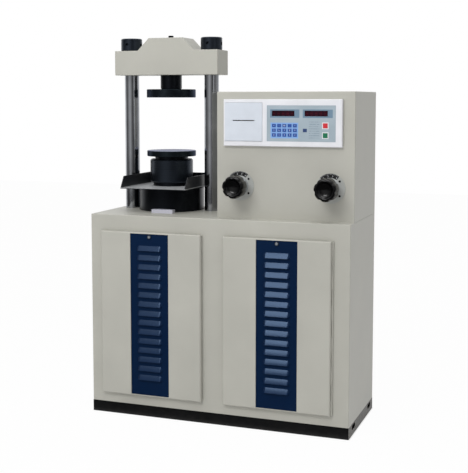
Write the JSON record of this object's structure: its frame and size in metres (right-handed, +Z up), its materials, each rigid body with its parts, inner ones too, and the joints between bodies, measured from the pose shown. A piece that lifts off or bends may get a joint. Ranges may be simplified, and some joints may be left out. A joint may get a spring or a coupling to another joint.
{
  "type": "flexural and compression testing machine",
  "caption": "Two-column hydraulic press for cement and mortar specimens on a sheet steel cabinet, with louvred doors, an instrument console with printer, and two oil valves.",
  "frame": {"origin": "middle of the plinth's foot, on the floor", "axes": "+X to the operator's right, +Y to the back, +Z up; the doors and the console face -Y"},
  "size_m": [0.88, 0.3726, 1.262],
  "materials": {
    "beige_paint": "fine satin powder coat",
    "navy_paint": "satin powder coat",
    "black_paint": "satin enamel",
    "gloss_black": "blackened and polished steel",
    "primer_grey": "satin machine enamel",
    "chrome_bar": "polished hard chrome",
    "ground_steel": "ground, fine circular lay",
    "zinc_plate": "bright zinc plating",
    "bezel_plastic": "satin moulded plastic",
    "printer_plastic": "fine matt moulded plastic",
    "film": "printed polyester film",
    "display_glass": "dark red tinted window",
    "bakelite": "polished phenolic moulding",
    "collar_metal": "bright turned",
    "dial_metal": "anodised with black scale marks",
    "seal_rubber": "moulded nitrile rubber",
    "board": "printed circuit laminate",
    "paper": "thermal paper",
    "switch_plastic": "moulded thermoset",
    "vial_plastic": "moulded acrylic"
  },
  "bodies": {
    "machine": {"base_beam": "primer_grey", "beam_stand": "primer_grey", "bell_housing": "primer_grey", "bezel": "bezel_plastic", "cabinet_shell": "beige_paint", "column_left": "chrome_bar", "column_nuts": "gloss_black", "column_right": "chrome_bar", "console_rear_cover": "beige_paint", "console_shell": "beige_paint", "contactors": "switch_plastic", "crosshead": "beige_paint", "crosshead_bolt": "gloss_black", "cylinder": "gloss_black", "cylinder_seal": "seal_rubber", "display_windows": "display_glass", "fan_cowl": "primer_grey", "hinge_leaves": "beige_paint", "hinge_pins": "zinc_plate", "instrument_board": "board", "instrument_tub": "zinc_plate", "keypad": "film", "motor_housing": "primer_grey", "oil_pipes": "zinc_plate", "oil_tank": "primer_grey", "paper_spindle": "zinc_plate", "plinth": "black_paint", "printer_frame": "switch_plastic", "pump": "primer_grey", "rear_panel": "beige_paint", "spirit_level": "vial_plastic", "starter_plate": "zinc_plate", "tank_lid": "primer_grey", "tray": "black_paint", "upper_seat": "gloss_black", "valve_block": "primer_grey", "valve_collars": "collar_metal", "valve_dials": "dial_metal"},
    "left_door": {"door_left": "beige_paint", "louvre_strip_left": "navy_paint"},
    "right_door": {"door_right": "beige_paint", "louvre_strip_right": "navy_paint"},
    "left_lock": {"door_lock_left": "zinc_plate"},
    "right_lock": {"door_lock_right": "zinc_plate"},
    "ram": {"ram": "gloss_black", "ram_head": "gloss_black", "lower_seat": "gloss_black", "lower_platen": "ground_steel"},
    "ball_seat": {"seat_spring": "zinc_plate"},
    "upper_platen": {"upper_platen": "gloss_black", "seat_hanger": "zinc_plate"},
    "return_valve": {"return_stem": "zinc_plate", "return_knob": "bakelite"},
    "delivery_valve": {"delivery_stem": "zinc_plate", "delivery_knob": "bakelite"},
    "printer_cover": {"printer_cover": "printer_plastic"},
    "paper_roll": {"paper_roll": "paper"},
    "rotor": {"motor_shaft": "ground_steel", "shaft_coupling": "zinc_plate", "motor_fan": "switch_plastic"}
  },
  "joints": [
    {"name": "left_door_hinge", "type": "hinge", "parent": "machine", "child": "left_door", "pos_m": [-0.3995, -0.176, 0.3435], "axis": [0, 0, -1], "range_deg": [0, 105]},
    {"name": "right_door_hinge", "type": "hinge", "parent": "machine", "child": "right_door", "pos_m": [0.3865, -0.176, 0.3435], "axis": [0, 0, 1], "range_deg": [0, 105]},
    {"name": "left_lock_turn", "type": "hinge", "parent": "left_door", "child": "left_lock", "pos_m": [-0.223, -0.186, 0.601], "axis": [0, -1, 0], "range_deg": [0, 180]},
    {"name": "right_lock_turn", "type": "hinge", "parent": "right_door", "child": "right_lock", "pos_m": [0.21, -0.186, 0.601], "axis": [0, -1, 0], "range_deg": [0, 180]},
    {"name": "ram_lift", "type": "slide", "parent": "machine", "child": "ram", "axis": [0, 0, 1], "range_m": [0, 0.08]},
    {"name": "platen_tilt_side", "type": "hinge", "parent": "machine", "child": "ball_seat", "pos_m": [-0.247, 0.0555, 1.052], "axis": [0, 1, 0], "range_deg": [-2, 2]},
    {"name": "platen_tilt_front", "type": "hinge", "parent": "ball_seat", "child": "upper_platen", "pos_m": [-0.247, 0.0555, 1.052], "axis": [1, 0, 0], "range_deg": [-2, 2]},
    {"name": "return_valve_turn", "type": "hinge", "parent": "machine", "child": "return_valve", "pos_m": [0.068, -0.17, 0.772], "axis": [0, -1, 0], "range_deg": [0, 300]},
    {"name": "delivery_valve_turn", "type": "hinge", "parent": "machine", "child": "delivery_valve", "pos_m": [0.364, -0.17, 0.772], "axis": [0, -1, 0], "range_deg": [0, 300]},
    {"name": "printer_cover_hinge", "type": "hinge", "parent": "machine", "child": "printer_cover", "pos_m": [0.084, -0.137, 0.917], "axis": [1, 0, 0], "range_deg": [0, 90]},
    {"name": "paper_roll_turn", "type": "hinge", "parent": "machine", "child": "paper_roll", "pos_m": [0.084, -0.0845, 0.9735], "axis": [1, 0, 0], "continuous": true},
    {"name": "motor_turn", "type": "hinge", "parent": "machine", "child": "rotor", "pos_m": [0.164, 0, 0.4], "axis": [0, 0, 1], "continuous": true}
  ]
}
